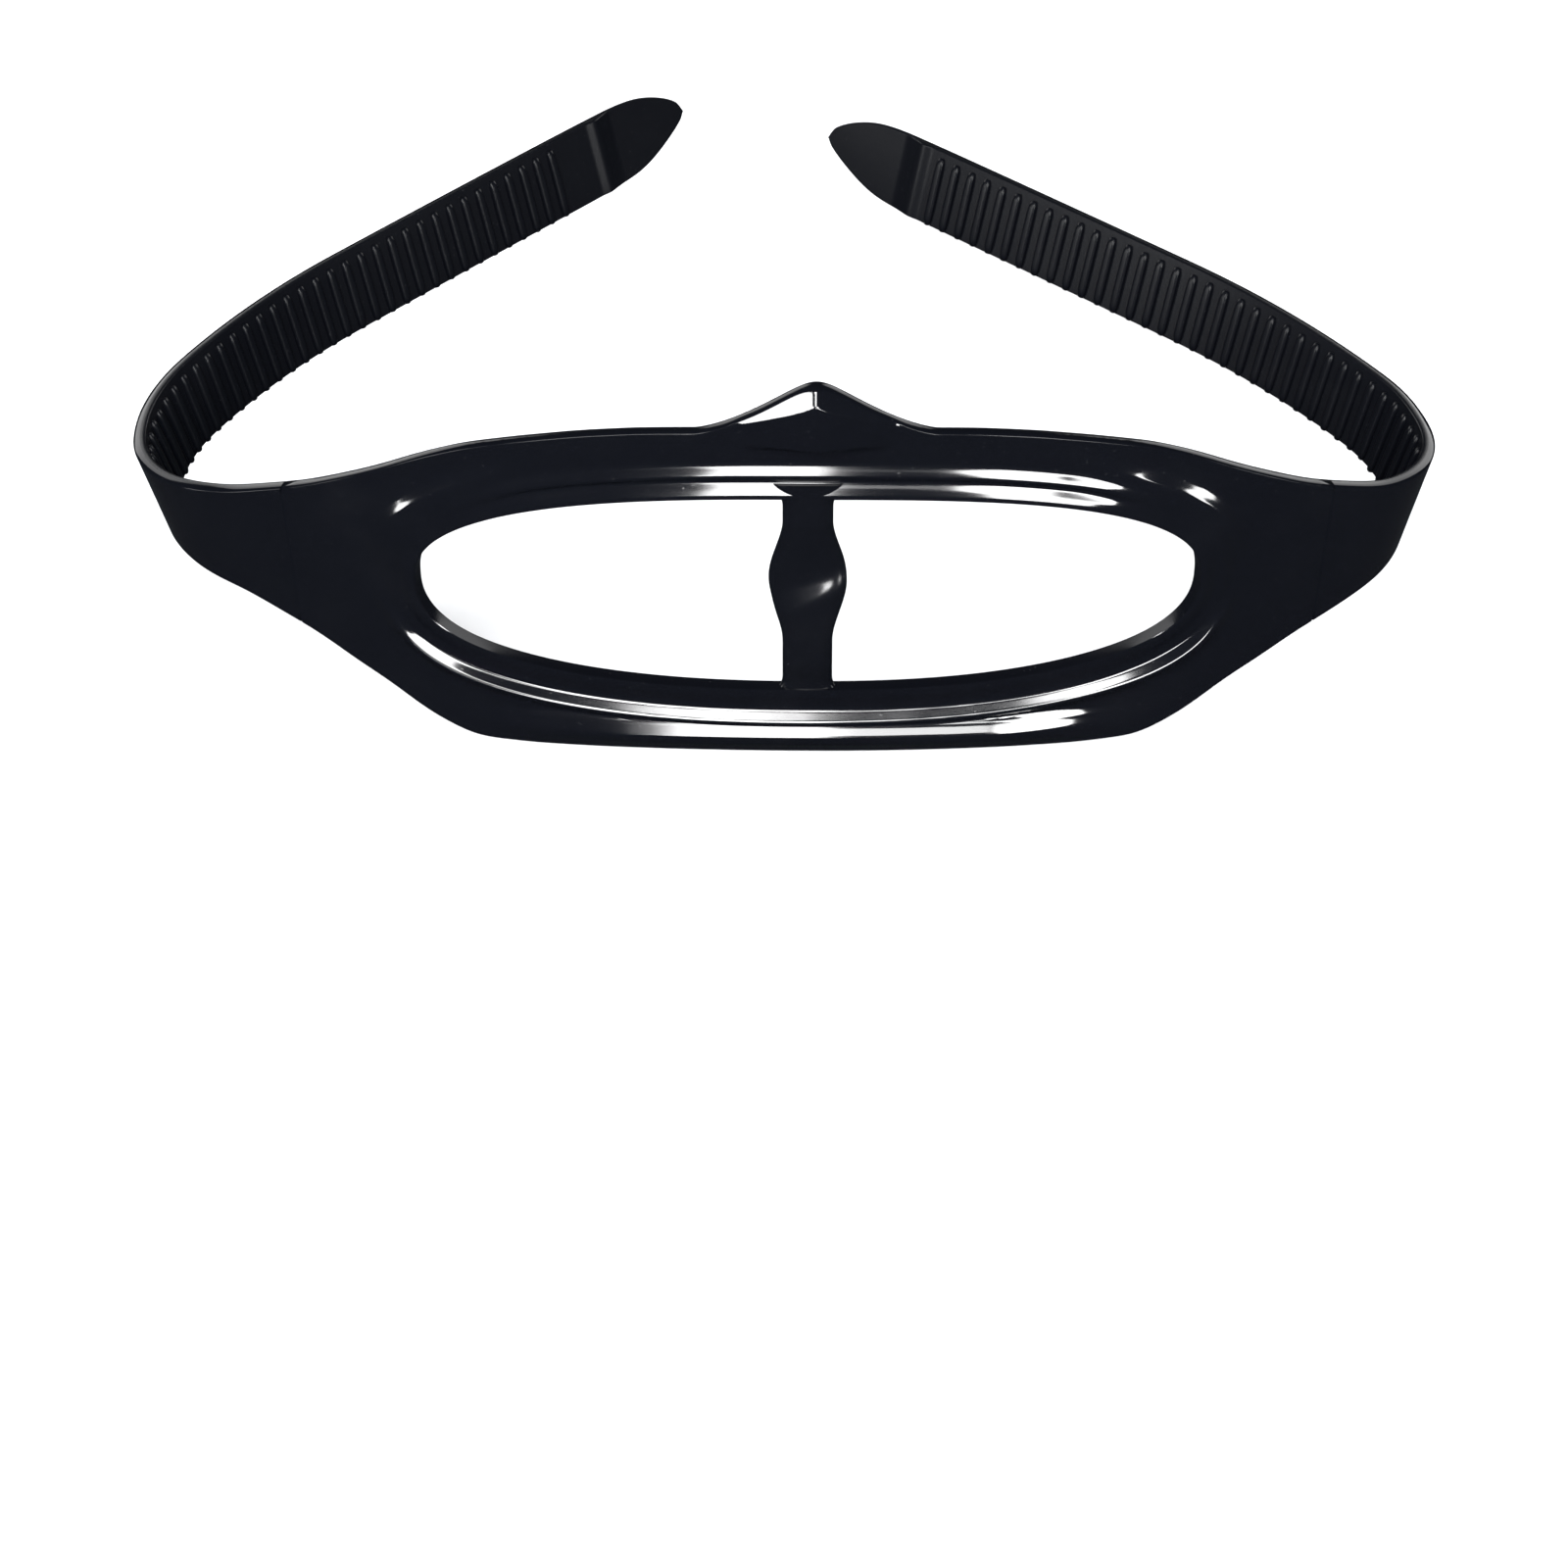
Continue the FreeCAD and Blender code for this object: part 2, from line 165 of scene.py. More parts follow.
class Finishes(PropertyGroup):
    rubber: FloatVectorProperty(name="Rubber", description="Colour of the silicone", size=3,
                                subtype="COLOR", default=(0.0011, 0.0013, 0.0020), min=0, max=1)
    dust: FloatVectorProperty(name="Dust", description="Colour of dust caught on the rubber", size=3,
                              subtype="COLOR", default=(0.010, 0.0105, 0.012), min=0, max=1)
    gloss_rough: FloatProperty(name="Gloss roughness", default=0.092,
                               description="Roughness of the polished outer face")
    satin_rough: FloatProperty(name="Satin roughness", default=0.34,
                               description="Roughness of the ribbed inner face")


class StageSizes(PropertyGroup):
    view_distance: length("Camera distance", 780, "From the camera to the middle of the pad")
    view_height: FloatProperty(name="Camera elevation", default=math.radians(36), subtype="ANGLE",
                               description="Angle of the view down onto the pad")
    aim_rise: FloatProperty(name="Aim", default=math.radians(2.49), subtype="ANGLE",
                            description="How far below the pad the camera is aimed")
    aim_left: FloatProperty(name="Aim left", default=math.radians(0.38), subtype="ANGLE",
                            description="How far to the left of the pad the camera is aimed")
    lens: FloatProperty(name="Lens", default=100.9, description="Focal length in mm")
    floor_gap: length("Floor gap", 0.4, "Clearance between the strap and the floor")


# ---------------------------------------------------------------- the band's rule
def smooth(value):
    """Ease from 0 to 1 with level ends."""
    value = np.clip(value, 0.0, 1.0)
    return value * value * (3 - 2 * value)


def bump(value):
    """Rounded hump: 1 at 0 and 0 from -1 or 1 outwards."""
    return smooth(1 - np.abs(value))


def shoulder(inward):
    """Share of the full thickness, at a share of the way in over a rounded edge."""
    return np.sqrt(np.clip(1 - (1 - np.clip(inward, 0, 1)) ** 2.2, 0, 1))


def unit(vectors):
    """The vectors at a length of 1.  One that has no length comes out undefined."""
    return vectors / np.linalg.norm(vectors, axis=-1, keepdims=True)


class Band:
    """Shape of the whole strap, worked out once from its sizes."""

    STEP = 0.25 * MM
    # Taper of the tips, above and below the middle line: its reach and its power.
    TAPERS = ((13 * MM, 0.53), (15.5 * MM, 0.72))
    # How much of the taper is cut off at its point, and the rounding of what is left.
    TIP_CUT, TIP_ROUND = 0.3 * MM, 1.3 * MM

    def __init__(self, scene):
        self.band, self.pad, self.tail = scene.strap_band, scene.strap_pad, scene.strap_tail
        half = max(self.band.left_length, self.band.right_length) + 10 * MM
        count = int(round(half / self.STEP))
        self.along = np.arange(-count, count + 1) * self.STEP
        bend = np.where(self.along < 0, self.curvature("left"), self.curvature("right"))
        self.heading = self.integrate(self.eased(bend))
        self.x = self.integrate(np.cos(self.heading))
        self.y = self.integrate(np.sin(self.heading)) - self.band.thick / 2
        places, above, below = (np.array(column) * MM for column in zip(*OUTLINE))
        reach = np.abs(self.along)
        self.above_line = self.eased(np.interp(reach, places, above))
        self.below_line = self.eased(np.interp(reach, places, below))

    def tip(self, along):
        """Distance of the tip on the side that a place is on."""
        return np.where(along < 0, self.band.left_length, self.band.right_length)

    def past_tab(self, along):
        """Distance past the start of the pull tab."""
        return np.abs(along) - self.tip(along) + self.tail.tip_length

    def curvature(self, side_name):
        """Turn per metre along one half."""
        ends = np.cumsum([run for run, _ in PLAN[side_name]]) * MM
        turns = np.array([math.radians(turn) / (run * MM) for run, turn in PLAN[side_name]])
        spot = np.searchsorted(ends, np.abs(self.along), side="right")
        return np.append(turns, 0.0)[spot]

    def eased(self, values):
        """The values averaged over a short reach with soft ends."""
        half = int(round(self.band.soften / self.STEP))
        weights = np.cos(np.linspace(-1, 1, 2 * half + 1) * math.pi / 2) ** 2
        padded = np.concatenate([np.full(half, values[0]), values, np.full(half, values[-1])])
        return np.convolve(padded, weights / weights.sum(), "valid")

    def integrate(self, values):
        """Running integral along the band that is 0 at the middle of the pad."""
        steps = (values[1:] + values[:-1]) / 2 * self.STEP
        total = np.concatenate([[0.0], np.cumsum(steps)])
        return total - total[len(total) // 2]

    def at(self, table, along):
        return np.interp(along, self.along, table)

    def directions(self, along):
        """Forward, upward and outward directions."""
        heading = self.at(self.heading, along)
        reach = (np.abs(along) - self.band.lean_from) / (self.band.lean_to - self.band.lean_from)
        lean = np.where(along < 0, self.band.left_lean, self.band.right_lean) * smooth(reach)
        zero = np.zeros_like(heading)
        level = np.stack([np.sin(heading), -np.cos(heading), zero], -1)
        vertical = np.stack([zero, zero, zero + 1], -1)
        cosine, sine = np.cos(lean)[..., None], np.sin(lean)[..., None]
        forward = np.stack([np.cos(heading), np.sin(heading), zero], -1)
        return forward, vertical * cosine + level * sine, level * cosine - vertical * sine

    def place(self, along, up, out):
        """Point of a place on the band."""
        _, upward, outward = self.directions(along)
        x, y = self.at(self.x, along), self.at(self.y, along)
        middle = np.stack([x, y, np.zeros_like(along)], -1)
        return middle + upward * up[..., None] + outward * out[..., None]

    def limits(self, along):
        """Height above and depth below the middle line, with the crest and the rounded tips."""
        above, below = self.at(self.above_line, along), self.at(self.below_line, along)
        above = above + self.crest(along)
        left = np.clip(self.tip(along) - np.abs(along), 0.01 * MM, None)
        upper, lower = (((left + self.TIP_CUT) / reach) ** power for reach, power in self.TAPERS)
        end = np.sqrt(1 - (1 - np.clip(left / self.TIP_ROUND, 0, 1)) ** 2)
        return (above * end * upper / (1 + upper ** 8) ** 0.125,
                below * end * lower / (1 + lower ** 8) ** 0.125)

    def round_reach(self, above, below):
        """How far in the edges are rounded, which is less where the band is narrow."""
        return np.minimum(self.band.edge_round, 0.9 * (above + below) / 2)

    def crest(self, along):
        """Rise of the crest above the top rail."""
        pad = self.pad
        run = np.sqrt((along - pad.crest_shift) ** 2 + pad.crest_tip ** 2) - pad.crest_tip
        return pad.crest_high * np.clip(1 - run / pad.crest_reach, 0, 1) ** 1.5

    def opening(self, angle):
        """Place (along, up) on the opening's edge."""
        cosine, sine = np.cos(angle), np.sin(angle)
        power = 2 / self.pad.opening_power
        x = np.sign(cosine) * self.pad.opening_half_x * np.abs(cosine) ** power
        z = np.sign(sine) * self.pad.opening_half_z * np.abs(sine) ** power
        held = np.abs(self.along) < self.band.pad_end
        return np.interp(x, self.x[held], self.along[held]), z + self.pad.opening_middle_z

    def hinges(self, side_name):
        """Distances at which one tail's lengths meet, from the wing's end to the tab."""
        tail = self.tail
        ribbed_end = tail.last_hinge - tail.plain_length
        ribbed_start = ribbed_end - tail.rib_pitch * sum(RIBS_HELD)
        wing_end = self.band.wing_end
        places = [wing_end, (wing_end + ribbed_start) / 2, ribbed_start]
        for held in RIBS_HELD:
            places.append(places[-1] + held * tail.rib_pitch)
        places[-1] = tail.last_hinge
        return places, ribbed_start


class Relief:
    """How far the strap's two faces stand off the band's middle surface."""

    # Rolls round the opening: distance from its edge in mm and height in mm, in the upper and the
    # lower half of the pad and at its upper corners.
    UPPER = [(0, 2.4), (0.2, 2.9), (0.6, 3.0), (1.1, 2.9), (2.0, 2.5), (3.1, 1.8), (3.6, 1.75),
             (4.2, 2.2), (4.7, 2.25), (5.3, 1.95), (6.1, 1.45), (6.9, 1.22), (8.0, 1.2), (40, 1.2)]
    LOWER = [(0, 1.8), (0.15, 1.85), (0.5, 1.85), (1.6, 1.75), (2.8, 1.4), (3.6, 1.2), (4.7, 1.2),
             (5.0, 1.2), (5.2, 1.35), (6.6, 2.72), (6.85, 2.8), (7.1, 2.75), (7.8, 2.2), (8.8, 1.4),
             (9.3, 1.2), (40, 1.2)]
    CORNER = [(0, 2.4), (0.2, 2.9), (0.6, 3.0), (2, 2.95), (6.4, 3.05), (7.4, 3.0), (8.2, 2.75),
              (9.0, 2.2), (10.0, 1.6), (10.8, 1.3), (12, 1.2), (40, 1.2)]
    # Lip along the bottom of the pad: distance from the pad's lower edge in mm and height in mm.
    LIP = [(0, 1.6), (0.8, 1.9), (1.6, 2.4), (2.6, 3.1), (3.6, 3.55), (4.3, 3.65), (4.7, 3.6),
           (4.95, 3.45), (6.2, 2.5), (6.5, 2.35), (7.1, 1.8), (7.8, 1.2), (40, 1.2)]
    # Height at which the inner face's round meets the opening's wall, and how far in it reaches.
    WALL_END, WALL_ROUND = -0.85 * MM, 0.45 * MM
    # Crest's block: its height at the ridge, and how fast it falls to each side.
    BLOCK_HIGH, BLOCK_FALL = 3.3 * MM, 0.24
    # Crest's facets: the height at which they run out, and their slopes downwards and sideways.
    FACET_TOP, FACET_RISE, FACET_SPREAD = 45.6 * MM, 0.85, 0.53

    def __init__(self, band):
        self.band = band
        self.upper, self.lower = self.curve(self.UPPER), self.curve(self.LOWER)
        self.corner, self.lip = self.curve(self.CORNER), self.curve(self.LIP)

    @staticmethod
    def curve(points):
        """Table of a profile drawn smoothly through its points."""
        distance, height = (np.array(column) * MM for column in zip(*points))
        fine = np.arange(0, 40, 0.05) * MM
        values = np.interp(fine, distance, height)
        weights = np.hanning(9)
        weights /= weights.sum()
        eased = np.convolve(np.pad(values, 4, mode="edge"), weights, "valid")
        return fine, eased

    def bead(self, along, up, gap, corner):
        """Height of the outer face at a distance from the opening."""
        lower = smooth((4 * MM - up) / (20 * MM))
        above = np.interp(gap, *self.upper) * (1 - corner) + np.interp(gap, *self.corner) * corner
        roll = above * (1 - lower) + np.interp(gap, *self.lower) * lower
        _, below = self.band.limits(along)
        held = smooth((66 * MM - np.abs(along)) / (34 * MM))
        plain = self.band.band.thick / 2
        lip = plain + (np.interp(up + below, *self.lip) - plain) * held
        return np.where(up < 0, np.maximum(roll, lip), roll)

    def edge(self, along, up):
        """Share of the full thickness left by the rounded edges."""
        above, below = self.band.limits(along)
        room = np.minimum(above - up, up + below)
        return shoulder(room / self.band.round_reach(above, below))

    def tab(self, along):
        """Share of the way from the ribbed tail to the thin pull tab."""
        return smooth((self.band.past_tab(along) + 1.2 * MM) / (4.5 * MM))

    def outer(self, along, up, gap=None, corner=0.0):
        """Outer face, with the rolls and the crest where a distance from the opening is given."""
        half = self.band.band.thick / 2
        plain = half + self.tab(along) * (0.15 * MM)
        if gap is None:
            return plain * self.edge(along, up)
        raised = self.bead(along, up, gap, corner) + self.fold(along, up)
        return raised * self.edge(along, up)

    def inner(self, along, up):
        """Inner face, with the cross ridge."""
        band, tail = self.band, self.band.tail
        half = band.band.thick / 2
        thin = self.tab(along) * (band.band.thick - tail.tip_thick)
        ridge = bump((band.past_tab(along) + tail.ridge_wide) / tail.ridge_wide)
        return (-half + thin - tail.ridge_high * ridge) * self.edge(along, up)

    def fold(self, along, up):
        """Height of the crest's block: a shallow upright ridge with a facet cut on each side."""
        aside = along - self.band.pad.crest_shift
        blunt, sharp = (np.sqrt(aside ** 2 + (round_off * MM) ** 2) for round_off in (3, 0.12))
        block = np.clip(self.BLOCK_HIGH - self.BLOCK_FALL * blunt, 0, None)
        facet = self.FACET_RISE * (self.FACET_TOP - up) - self.FACET_SPREAD * sharp
        root = smooth((up - 31.8 * MM) / (1.8 * MM)) * smooth((16 * MM - np.abs(aside)) / (4 * MM))
        return root * np.clip(np.minimum(facet, block), -0.5 * MM, None)


# ---------------------------------------------------------------- mesh helpers
def new_piece(name, points, faces, normals=None, satin=None, materials=(), kinds=None):
    """Smooth mesh object.  kinds gives each face its material's number, less 2 for a flat face."""
    mesh = bpy.data.meshes.new(name)
    mesh.from_pydata([tuple(point) for point in points], [], faces)
    mesh.update()
    mesh.polygons.foreach_set("use_smooth", np.ones(len(mesh.polygons), bool))
    for material in materials:
        mesh.materials.append(material)
    if kinds is not None:
        mesh.polygons.foreach_set("material_index", np.mod(kinds, 2).astype(np.int32))
    if satin is not None:
        mesh.attributes.new("satin", "FLOAT", "POINT").data.foreach_set(
            "value", np.asarray(satin, np.float32))
    if normals is not None:
        corners = np.empty(len(mesh.loops), np.int32)
        mesh.loops.foreach_get("vertex_index", corners)
        directions = normals[corners]
        for polygon, kind in zip(mesh.polygons, kinds):
            if kind < 0:
                directions[list(polygon.loop_indices)] = polygon.normal
        mesh.normals_split_custom_set(directions.tolist())
    piece = bpy.data.objects.new(name, mesh)
    bpy.context.scene.collection.objects.link(piece)
    return piece


def grid_faces(rows, columns, closed_rows=False, closed_columns=False):
    """Quads between neighbours of a grid of points numbered row by row."""
    faces = []
    for row in range(rows if closed_rows else rows - 1):
        after = (row + 1) % rows
        for column in range(columns if closed_columns else columns - 1):
            beside = (column + 1) % columns
            faces.append((row * columns + column, row * columns + beside,
                          after * columns + beside, after * columns + column))
    return faces


def grid_normals(points, ring):
    """Normals of a grid that closes on itself along the axis ring, from its neighbours."""
    closed = np.roll(points, -1, ring) - np.roll(points, 1, ring)
    open_ended = np.gradient(points, axis=1 - ring)
    return unit(np.cross(closed, open_ended) if ring == 0 else np.cross(open_ended, closed))


def weld(points, faces, normals, satin, kinds):
    """The same mesh with coincident points made one, and the faces that this empties left out.

    Faces that come to have the same corners all stay.
    """
    coincident = 0.002 * MM
    keys = np.round(points / coincident).astype(np.int64)
    _, first, spot = np.unique(keys, axis=0, return_index=True, return_inverse=True)
    spot = spot.ravel()
    total = np.zeros((len(first), 3))
    np.add.at(total, spot, normals)
    kept, kept_kinds = [], []
    for face, kind in zip(faces, kinds):
        ring = list(dict.fromkeys(int(spot[corner]) for corner in face))
        if len(ring) > 2:
            kept.append(tuple(ring))
            kept_kinds.append(kind)
    return points[first], kept, unit(total), satin[first], kept_kinds


def outward(points, faces):
    """The faces, turned over if they enclose a negative volume."""
    quads = np.array([face for face in faces if len(face) == 4])
    a, b, c, d = (points[quads[:, corner]] for corner in range(4))
    volume = (np.einsum("ij,ij->i", a, np.cross(b, c))
              + np.einsum("ij,ij->i", a, np.cross(c, d))).sum()
    return faces if volume > 0 else [face[::-1] for face in faces]


def new_tube(name, points, normals, satin, strips, materials):
    """Tube through rows of points, with a flat cap at each end and all faces outwards."""
    rows, columns = points.shape[:2]
    flat = points.reshape(-1, 3)
    faces = grid_faces(rows, columns, False, True)
    faces += [tuple(range(columns))[::-1], tuple(range((rows - 1) * columns, rows * columns))]
    middle = points.mean(axis=1, keepdims=True)
    away = np.sign(np.einsum("ijk,ijk->ij", normals, points - middle).sum())
    kinds = [*strips.ravel(), FLAT_POLISHED, FLAT_POLISHED]
    return new_piece(name, flat, outward(flat, faces), (normals * away).reshape(-1, 3),
                     satin, materials, kinds)


# ---------------------------------------------------------------- finishes
class Value:
    """A number socket whose operators add Math nodes."""

    def __init__(self, tree, socket):
        self.tree, self.socket = tree, socket

    def math(self, operation, *terms):
        node = self.tree.add("ShaderNodeMath", {"operation": operation},
                             dict(enumerate(terms)))
        return Value(self.tree, node.outputs[0])

    def __add__(self, other):
        return self.math("ADD", self, other)

    def __sub__(self, other):
        return self.math("SUBTRACT", self, other)

    def __mul__(self, other):
        return self.math("MULTIPLY", self, other)

    def __rsub__(self, other):
        return self.math("SUBTRACT", other, self)

    __radd__ = __add__
    __rmul__ = __mul__


class Finish:
    """A material and its node tree."""

    def __init__(self, name):
        self.material = bpy.data.materials.new(name)
        self.material.use_nodes = True
        self.nodes, self.links = self.material.node_tree.nodes, self.material.node_tree.links
        self.shader = self.nodes["Principled BSDF"]
        self.object = self.add("ShaderNodeTexCoord").outputs["Object"]

    def add(self, kind, settings=(), sockets=()):
        """A node of a type, with its settings, then the values or links of its sockets."""
        node = self.nodes.new(kind)
        for key, value in dict(settings).items():
            setattr(node, key, value)
        for key, value in dict(sockets).items():
            self.feed(node.inputs[key], value)
        return node

    def feed(self, socket, value):
        if isinstance(value, Value):
            value = value.socket
        if isinstance(value, bpy.types.NodeSocket):
            self.links.new(value, socket)
        else:
            socket.default_value = value

    def noise(self, scale, detail=2.0, rough=0.5, distort=0.0):
        node = self.add("ShaderNodeTexNoise", {}, {
            "Vector": self.object, "Scale": scale, "Detail": detail, "Roughness": rough,
            "Distortion": distort})
        return Value(self, node.outputs["Fac"])

    def step(self, value, low, high):
        """The value mapped smoothly from 0 at low to 1 at high."""
        node = self.add("ShaderNodeMapRange", {"interpolation_type": "SMOOTHSTEP"}, {
            "Value": value, "From Min": low, "From Max": high})
        return Value(self, node.outputs["Result"])

    def blend(self, share, first, second):
        """Colour between two, by a share."""
        node = self.add("ShaderNodeMix", {"data_type": "RGBA"}, {0: share, 6: first, 7: second})
        return node.outputs[2]

    def attribute(self, name):
        node = self.add("ShaderNodeAttribute", {"attribute_name": name})
        return Value(self, node.outputs["Fac"])

    def bump(self, height, distance, strength=1.0, after=None):
        sockets = {"Height": height, "Distance": distance, "Strength": strength}
        if after is not None:
            sockets["Normal"] = after
        return self.add("ShaderNodeBump", {}, sockets).outputs["Normal"]


def rubber_finish(name, colours, specular):
    """Moulded silicone: a skin that is polished or satin, faintly uneven, with dust and smears."""
    finish = Finish(name)
    share = finish.attribute("satin")
    smear = finish.step(finish.noise(34, 3, 0.55, 0.6), 0.52, 0.78)
    specks = finish.step(finish.noise(1500, 1, 0.5), 0.735, 0.78)
    mottle = finish.noise(120, 2)
    colour = finish.blend(specks * 0.3 + smear * 0.05 + mottle * 0.03,
                          (*colours.rubber, 1), (*colours.dust, 1))
    rough = (smear * 0.05 + specks * 0.12 + mottle * 0.03 + colours.gloss_rough - 0.02
             + share * (colours.satin_rough - colours.gloss_rough))
    waves = finish.bump(finish.noise(60, 1, 0.5), 0.04 * MM, 0.5)
    grain = finish.bump(finish.noise(2600, 2, 0.6) * share, 0.03 * MM, 0.5, waves)
    shader = finish.shader
    finish.feed(shader.inputs["Base Color"], colour)
    finish.feed(shader.inputs["Roughness"], rough)
    finish.feed(shader.inputs["Normal"], grain)
    shader.inputs["IOR"].default_value = 1.43
    shader.inputs["Specular IOR Level"].default_value = specular
    return finish.material


def stage_finish(name, colour, rough=0.9):
    """Plain paper with a faint unevenness."""
    finish = Finish(name)
    tone = finish.noise(9, 2)
    darker = tuple(part * 0.985 for part in colour)
    finish.feed(finish.shader.inputs["Base Color"], finish.blend(tone, (*colour, 1), (*darker, 1)))
    finish.feed(finish.shader.inputs["Roughness"], tone * 0.05 + rough)
    finish.shader.inputs["Specular IOR Level"].default_value = 0.0
    finish.shader.inputs["Emission Color"].default_value = (1, 1, 1, 1)
    finish.shader.inputs["Emission Strength"].default_value = 0.28
    return finish.material


def shared(key, make):
    """The material under a name, made once."""
    return bpy.data.materials.get(key) or make()


def rubber(context):
    """The polished and the ribbed finish, in that order."""
    colours = context.scene.strap_finish
    return [shared(name, lambda: rubber_finish(name, colours, specular))
            for name, specular in (("polished_silicone", 0.5), ("ribbed_silicone", 0.10))]


# ---------------------------------------------------------------- the pad
def pad_rays(band, angles):
    """Opening edge, direction and run to the outline for each ray, all in (along, up)."""
    edge = np.stack(band.opening(angles), -1)
    step = 1e-3
    tangent = np.stack(band.opening(angles + step), -1) - np.stack(band.opening(angles - step), -1)
    away = unit(np.stack([tangent[:, 1], -tangent[:, 0]], -1))
    end = band.band.pad_end
    runs = np.linspace(0, 60 * MM, 6001)
    along = edge[:, :1] + away[:, :1] * runs
    up = edge[:, 1:] + away[:, 1:] * runs
    above, below = band.limits(along)
    outside = (up > above) | (up < -below) | (np.abs(along) > end)
    return edge, away, runs[np.argmax(outside, axis=1)]


def snap_corners(band, edge, away, run):
    """Turn the nearest ray to each corner of the pad's ends so that it meets the corner."""
    end = band.band.pad_end
    hits = edge + away * run[:, None]
    above, below = band.limits(np.array([-end, end]))
    for place, high, low in ((-end, above[0], below[0]), (end, above[1], below[1])):
        for corner in ((place, high), (place, -low)):
            nearest = np.argmin(np.linalg.norm(hits - corner, axis=1))
            reach = np.array(corner) - edge[nearest]
            run[nearest] = np.linalg.norm(reach)
            away[nearest] = reach / run[nearest]


def build_pad_skin(context):
    """Rails, wings, rolls round the opening and crest, as one skin."""
    band = Band(context.scene)
    relief = Relief(band)
    columns = 620
    fine = np.linspace(0, 2 * math.pi, 8001)
    places = np.stack(band.opening(fine), -1)
    travelled = np.concatenate([[0], np.cumsum(np.linalg.norm(np.diff(places, axis=0), axis=1))])
    angles = np.interp(np.arange(columns) / columns * travelled[-1], travelled, fine)
    edge, away, run = pad_rays(band, angles)
    snap_corners(band, edge, away, run)

    # Distances from the opening: dense over the rolls, then even, then dense at the outline.
    reach = band.band.edge_round
    room = run[:, None] - reach * 1.02
    start = 1 - np.cos(np.linspace(0, math.pi / 2, 9))
    near = np.concatenate([start, np.linspace(1.2, 15, 62)]) * MM
    core = near * np.minimum(1, room / near[-1])
    middle = core[:, -1:] + (room - core[:, -1:]) * np.linspace(0, 1, 27)[1:]
    rim = run[:, None] - reach * (1 - np.sin(np.linspace(0, math.pi / 2, 10)))
    gaps = np.sort(np.concatenate([core, middle[:, :-1], rim], axis=1), axis=1)

    def spread(gaps):
        return edge[:, :1] + away[:, :1] * gaps, edge[:, 1:] + away[:, 1:] * gaps

    along, up = spread(gaps)
    corner = (smooth((np.abs(edge[:, :1]) - 44 * MM) / (20 * MM))
              * smooth((edge[:, 1:] - 2 * MM) / (8 * MM)))
    outer = band.place(along, up, relief.outer(along, up, gaps, corner))
    sparse = np.concatenate([gaps[:, :9], gaps[:, 12:-12:7], gaps[:, -11:]], axis=1)
    along, up = spread(sparse)
    hole = shoulder(sparse / relief.WALL_ROUND)
    inner = band.place(along, up, relief.inner(along, up) * hole + relief.WALL_END * (1 - hole))

    section = np.concatenate([outer, inner[:, ::-1]], axis=1)
    normals = np.concatenate([grid_normals(outer, 0), grid_normals(inner[:, ::-1], 0)], axis=1)
    satin = np.concatenate([0 * outer[..., 0], 0.5 + 0 * inner[..., 0]], axis=1).ravel()
    points, normals = section.reshape(-1, 3), normals.reshape(-1, 3)
    faces = outward(points, grid_faces(*section.shape[:2], True, True))
    facing = normals[0] @ (points[0] - np.array([0, 0, band.pad.opening_middle_z]))
    normals = normals * (-1 if facing > 0 else 1)
    strips = np.full(section.shape[:2], RIBBED)
    strips[:, :outer.shape[1] - rim.shape[1]] = POLISHED
    strips[:, [outer.shape[1] - 1, -1]] = FLAT_RIBBED
    points, faces, normals, satin, kinds = weld(points, faces, normals, satin, strips.ravel())
    piece = new_piece("pad_skin", points, faces, normals, satin, rubber(context), kinds)
    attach(piece, "pad")
    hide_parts("top_rail", "bottom_rail", "left_wing", "right_wing", "opening_bead",
                "crest")


def build_bar(context):
    """Bar across the opening, swollen and slightly twisted a little above its middle."""
    scene = context.scene
    sizes, band = scene.strap_bar, Band(scene)
    bottom, top = -21.2 * MM, 25.6 * MM
    levels = np.linspace(bottom, top, 160)
    around = np.linspace(0, 2 * math.pi, 64, endpoint=False)
    share = bump((levels - sizes.swell_z) / (sizes.swell_reach * 1.12))
    middle = band.pad.opening_middle_z
    root = smooth((np.abs(levels - middle) - 18.4 * MM) / (6 * MM)) ** 1.5
    wide = sizes.neck_wide + (sizes.swell_wide - sizes.neck_wide) * share + 4 * MM * root
    thinned = 1.4 * MM * smooth((-levels - 12.5 * MM) / (6.5 * MM))
    deep = sizes.thick * (1 - 0.12 * share) - thinned
    turn = sizes.twist * share
    cosine, sine = np.cos(around), np.sin(around)
    squareness = 2.6
    power = 2 / squareness
    across = np.sign(cosine) * np.abs(cosine) ** power
    through = np.sign(sine) * np.abs(sine) ** power
    x = wide[:, None] / 2 * across
    y = deep[:, None] / 2 * through
    turned_x = x * np.cos(turn)[:, None] - y * np.sin(turn)[:, None]
    turned_y = x * np.sin(turn)[:, None] * 0.55 + y * np.cos(turn)[:, None]
    slant = levels[:, None] - sizes.swell_z - 0.5 * turned_x
    saddle = 1.5 * MM * smooth(slant / (6 * MM) + 0.85) * share[:, None] ** 0.5
    out = turned_y - sizes.thick / 2 + thinned[:, None] / 2 + saddle
    points = np.stack([turned_x, out, levels[:, None] + 0 * x], -1)
    strips = np.full((len(levels) - 1, len(around)), POLISHED)
    satin = np.full(points[..., 0].size, 0.2)
    piece = new_tube("bar_skin", points, grid_normals(points, 1), satin, strips, rubber(context))
    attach(piece, "pad")
    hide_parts("centre_bar")


